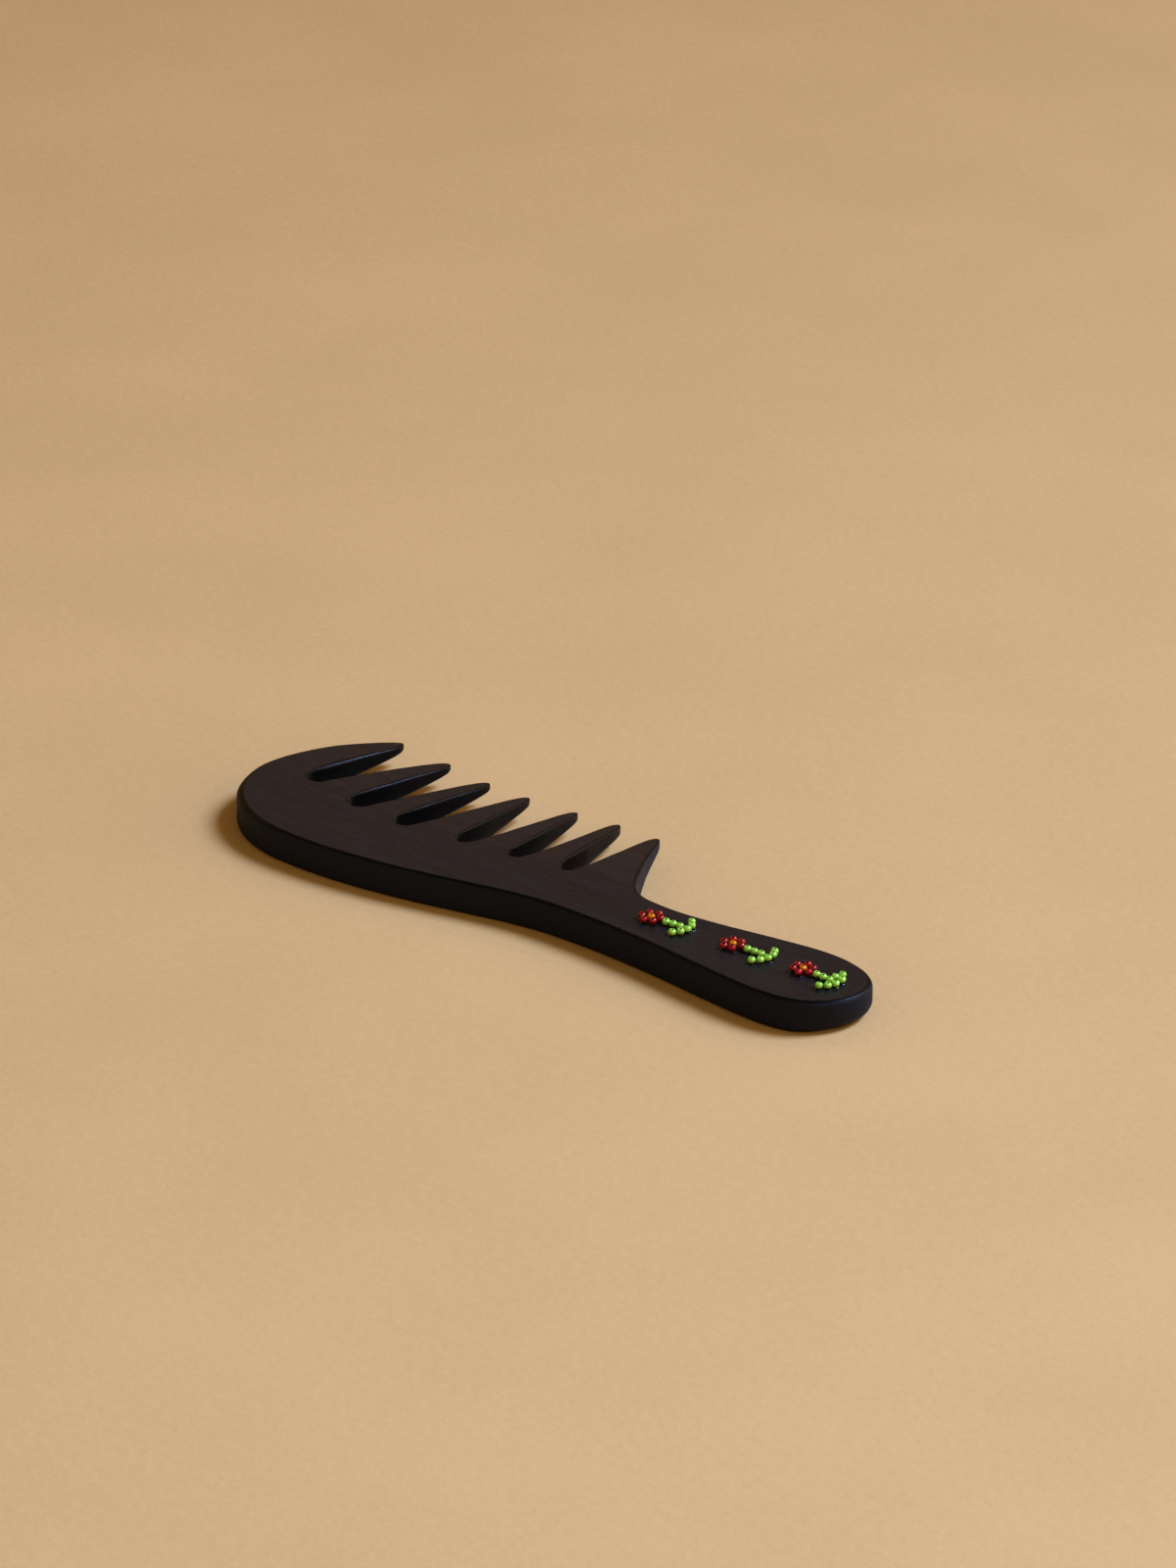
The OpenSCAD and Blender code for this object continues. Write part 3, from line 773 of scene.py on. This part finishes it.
# On a fine grid over each flower, the glue rises near the beads and ends where it meets the
# wood. Its underside lies a little in the wood, and sides close it all round.
for number, spots in enumerate(glue_spots, 1):
    spots = np.array(spots)
    low, high = spots.min(0) - GLUE_MARGIN, spots.max(0) + GLUE_MARGIN
    nx, ny = np.ceil((high - low) / GLUE_GRID).astype(int)
    xs, ys = low[0] + GLUE_GRID * np.arange(nx), low[1] + GLUE_GRID * np.arange(ny)
    gx, gy = np.meshgrid(xs, ys, indexing="ij")
    far = np.sqrt((gx[..., None] - spots[:, 0]) ** 2 + (gy[..., None] - spots[:, 1]) ** 2)
    reach_out = GLUE_WIDE + GLUE_WANDER * np.array([[wander(x, y) for y in ys] for x in xs])
    near = np.clip(1 - far / reach_out[..., None], 0, 1)
    rise = GLUE_RISE * np.clip((near**2 * GLUE_FILL).sum(-1), 0, 1)
    kept = rise > 0
    cells = kept[:-1, :-1] & kept[1:, :-1] & kept[:-1, 1:] & kept[1:, 1:]
    used = np.zeros_like(kept)
    for dx, dy in ((0, 0), (1, 0), (0, 1), (1, 1)):
        used[dx : nx - 1 + dx, dy : ny - 1 + dy] |= cells
    index = -np.ones(kept.shape, int)
    index[used] = np.arange(used.sum())
    edge = used & ~(
        np.pad(cells, ((1, 0), (1, 0))) & np.pad(cells, ((0, 1), (1, 0)))
        & np.pad(cells, ((1, 0), (0, 1))) & np.pad(cells, ((0, 1), (0, 1)))
    )
    tops = np.where(edge, 0.0, rise) + BOARD_THICK
    upper = np.column_stack((gx[used], gy[used], tops[used]))
    under = upper.copy()
    under[:, 2] = BOARD_THICK - GLUE_SUNK
    n = len(upper)
    quads = []
    for i, j in zip(*np.nonzero(cells)):
        corner = [index[i, j], index[i + 1, j], index[i + 1, j + 1], index[i, j + 1]]
        quads.append(corner)
        quads.append([c + n for c in reversed(corner)])
    sides = dict.fromkeys(
        (a, b) for quad in quads[::2] for a, b in zip(quad, quad[1:] + quad[:1])
    )
    quads += [[b, a, a + n, b + n] for a, b in sides if (b, a) not in sides]
    glue = make_piece(f"flower_{number}_glue", np.concatenate((upper, under)), quads, {})
    glue.data.materials.append(glue_finish)
    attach(glue, "root")


# Floor
# A wide sheet of warm sand-coloured card with a finely dimpled surface. It lies flat under the
# comb and rises in a round sweep far behind it.
# How far it reaches in front, behind and to either side of the comb, and its sweep, in metres
FLOOR_NEAR, FLOOR_FAR, FLOOR_WIDE = -3.5, 2.6, 3.5
SWEEP_RADIUS, SWEEP_HIGH = 0.8, 2.2
# The sweep's steps, and where the comb is seen from: how far round and how far up, in degrees
SWEEP_STEP, CAMERA_TURN, CAMERA_HIGH = 6, 44.5, 23.5

away = Vector((-math.sin(math.radians(CAMERA_TURN)), math.cos(math.radians(CAMERA_TURN)), 0))
aside = Vector((away.y, -away.x, 0))
profile = [(FLOOR_NEAR, 0.0), (FLOOR_FAR, 0.0)]
for a in range(SWEEP_STEP, 90 + 1, SWEEP_STEP):
    x, y = toward(a)
    profile.append((FLOOR_FAR + SWEEP_RADIUS * y, SWEEP_RADIUS * (1 - x)))
profile.append((FLOOR_FAR + SWEEP_RADIUS, SWEEP_HIGH))
card_points = [
    (away * d + aside * w + Vector((0, 0, h))) / MM
    for d, h in profile for w in (-FLOOR_WIDE, FLOOR_WIDE)
]
card_faces = [(2 * k, 2 * k + 1, 2 * k + 3, 2 * k + 2) for k in range(len(profile) - 1)]
card = make_piece("floor_card", card_points, card_faces, {})

CARD = (0.535, 0.370, 0.219, 1)
CARD_DEEP = (0.505, 0.349, 0.206, 1)
CARD_SPECK = (0.30, 0.17, 0.08, 1)
CLOUDS, DIMPLES, DIMPLE_HIGH = (0.012, 0.012, 0.012), (0.45, 0.45, 0.45), 0.12
CLOUD_SHARE, CLOUD_SHOWS, SPECK_COVER, CARD_ROUGH = 0.6, (0.35, 0.65), 0.5, (0.75, 0.9)

card_finish, tree, shader = new_finish("sand_card")
place = place_in_mm(tree)
dusty = node(
    tree, "ShaderNodeGroup", {"node_tree": dust},
    Speck_Spacing=60.0, Speck_Size=0.5, Mottle_Size=3.0,
)
clouds = noise_at(tree, place, CLOUDS)
clouded = plus(tree, 0.0, (clouds, CLOUD_SHARE), (dusty.outputs["Mottle"], 1 - CLOUD_SHARE))
colour = blend_colours(tree, ramp(tree, clouded, *CLOUD_SHOWS), CARD_DEEP, CARD)
speck = maths(tree, "MULTIPLY", dusty.outputs["Specks"], SPECK_COVER)
colour = blend_colours(tree, speck, colour, CARD_SPECK)
tree.links.new(colour, shader.inputs["Base Color"])
dimples = noise_at(tree, place, DIMPLES, detail=4.0, roughness=0.6)
raise_surface(tree, shader, maths(tree, "MULTIPLY", dimples, DIMPLE_HIGH))
rough = ramp(tree, dimples, MOTTLE_LOW, MOTTLE_HIGH, *CARD_ROUGH)
tree.links.new(rough, shader.inputs["Roughness"])
set_sockets(shader, {"Specular IOR Level": 0.2})
card.data.materials.append(card_finish)


# Light
# One large soft lamp with cool light stands to the right, turned to the floor in front of the
# comb. Warm light comes from the rest of the room, as sand-coloured card gives it back, more
# from the lamp's side and little from overhead.
# Turn and height of the lamp in degrees, its distance and width in metres
LAMP_TURN, LAMP_HIGH, LAMP_FAR, LAMP_WIDE = 6.0, 48.0, 4.0, 1.8
LAMP_POWER, LAMP_SPREAD, LAMP_COLOUR = 142, 125, (0.61, 0.78, 1.0)
LAMP_AIM = aside * 1.2 - away * 1.8
ROOM_LOW, ROOM_OVERHEAD, OVERHEAD_RUN = (0.94, 0.69, 0.29, 1), (0.16, 0.11, 0.045, 1), (0.5, 0.8)
ROOM_STRENGTH, LAMP_SIDE_MORE = 1.08, 0.68

lamp_data = bpy.data.lights.new("soft_lamp", "AREA")
lamp_data.shape, lamp_data.size, lamp_data.energy = "DISK", LAMP_WIDE, LAMP_POWER
lamp_data.color = LAMP_COLOUR
lamp_data.spread = math.radians(LAMP_SPREAD)
lamp = bpy.data.objects.new("soft_lamp", lamp_data)
bpy.context.scene.collection.objects.link(lamp)
turn, level = math.radians(LAMP_TURN), math.radians(LAMP_HIGH)
sideways = aside * math.cos(turn) + away * math.sin(turn)
lamp.location = LAMP_FAR * (sideways * math.cos(level) + Vector((0, 0, math.sin(level))))
lamp.rotation_mode = "QUATERNION"
lamp.rotation_quaternion = (lamp.location - LAMP_AIM).to_track_quat("Z", "Y")

world = bpy.data.worlds.new("soft_room")
bpy.context.scene.world = world
world.use_nodes = True
tree = world.node_tree
sky = tree.nodes["Background"]
facing = node(tree, "ShaderNodeTexCoord").outputs["Generated"]
upward = node(tree, "ShaderNodeSeparateXYZ", None, Vector=facing).outputs["Z"]
room = blend_colours(tree, ramp(tree, upward, *OVERHEAD_RUN), ROOM_LOW, ROOM_OVERHEAD)
tree.links.new(room, sky.inputs["Color"])
to_lamp = node(tree, "ShaderNodeVectorMath", {"operation": "DOT_PRODUCT"}, _0=facing, _1=aside)
strength = maths(tree, "MULTIPLY_ADD", to_lamp.outputs["Value"], LAMP_SIDE_MORE, ROOM_STRENGTH)
tree.links.new(strength, sky.inputs["Strength"])


# Camera
# It looks down at the comb from beside its back, with a long lens. It is aimed past the tips
# of the teeth, which leaves much of the picture to the floor behind.
AIM = Vector((-45.942, 54.979, 0)) * MM
CAMERA_FAR = 1.75408
LENS, SENSOR_WIDE = 157.5, 36

camera_data = bpy.data.cameras.new("camera")
camera_data.sensor_width, camera_data.lens = SENSOR_WIDE, LENS
camera_data.clip_start, camera_data.clip_end = 0.05, 20
camera = bpy.data.objects.new("camera", camera_data)
bpy.context.scene.collection.objects.link(camera)
bpy.context.scene.camera = camera
level = math.radians(CAMERA_HIGH)
toward_camera = Vector((-away.x * math.cos(level), -away.y * math.cos(level), math.sin(level)))
camera.location = AIM + toward_camera * CAMERA_FAR
camera.rotation_mode = "QUATERNION"
camera.rotation_quaternion = toward_camera.to_track_quat("Z", "Y")

bpy.context.scene.view_settings.view_transform = "Standard"
bpy.context.scene.view_settings.look = "Medium High Contrast"

bpy.context.view_layer.update()
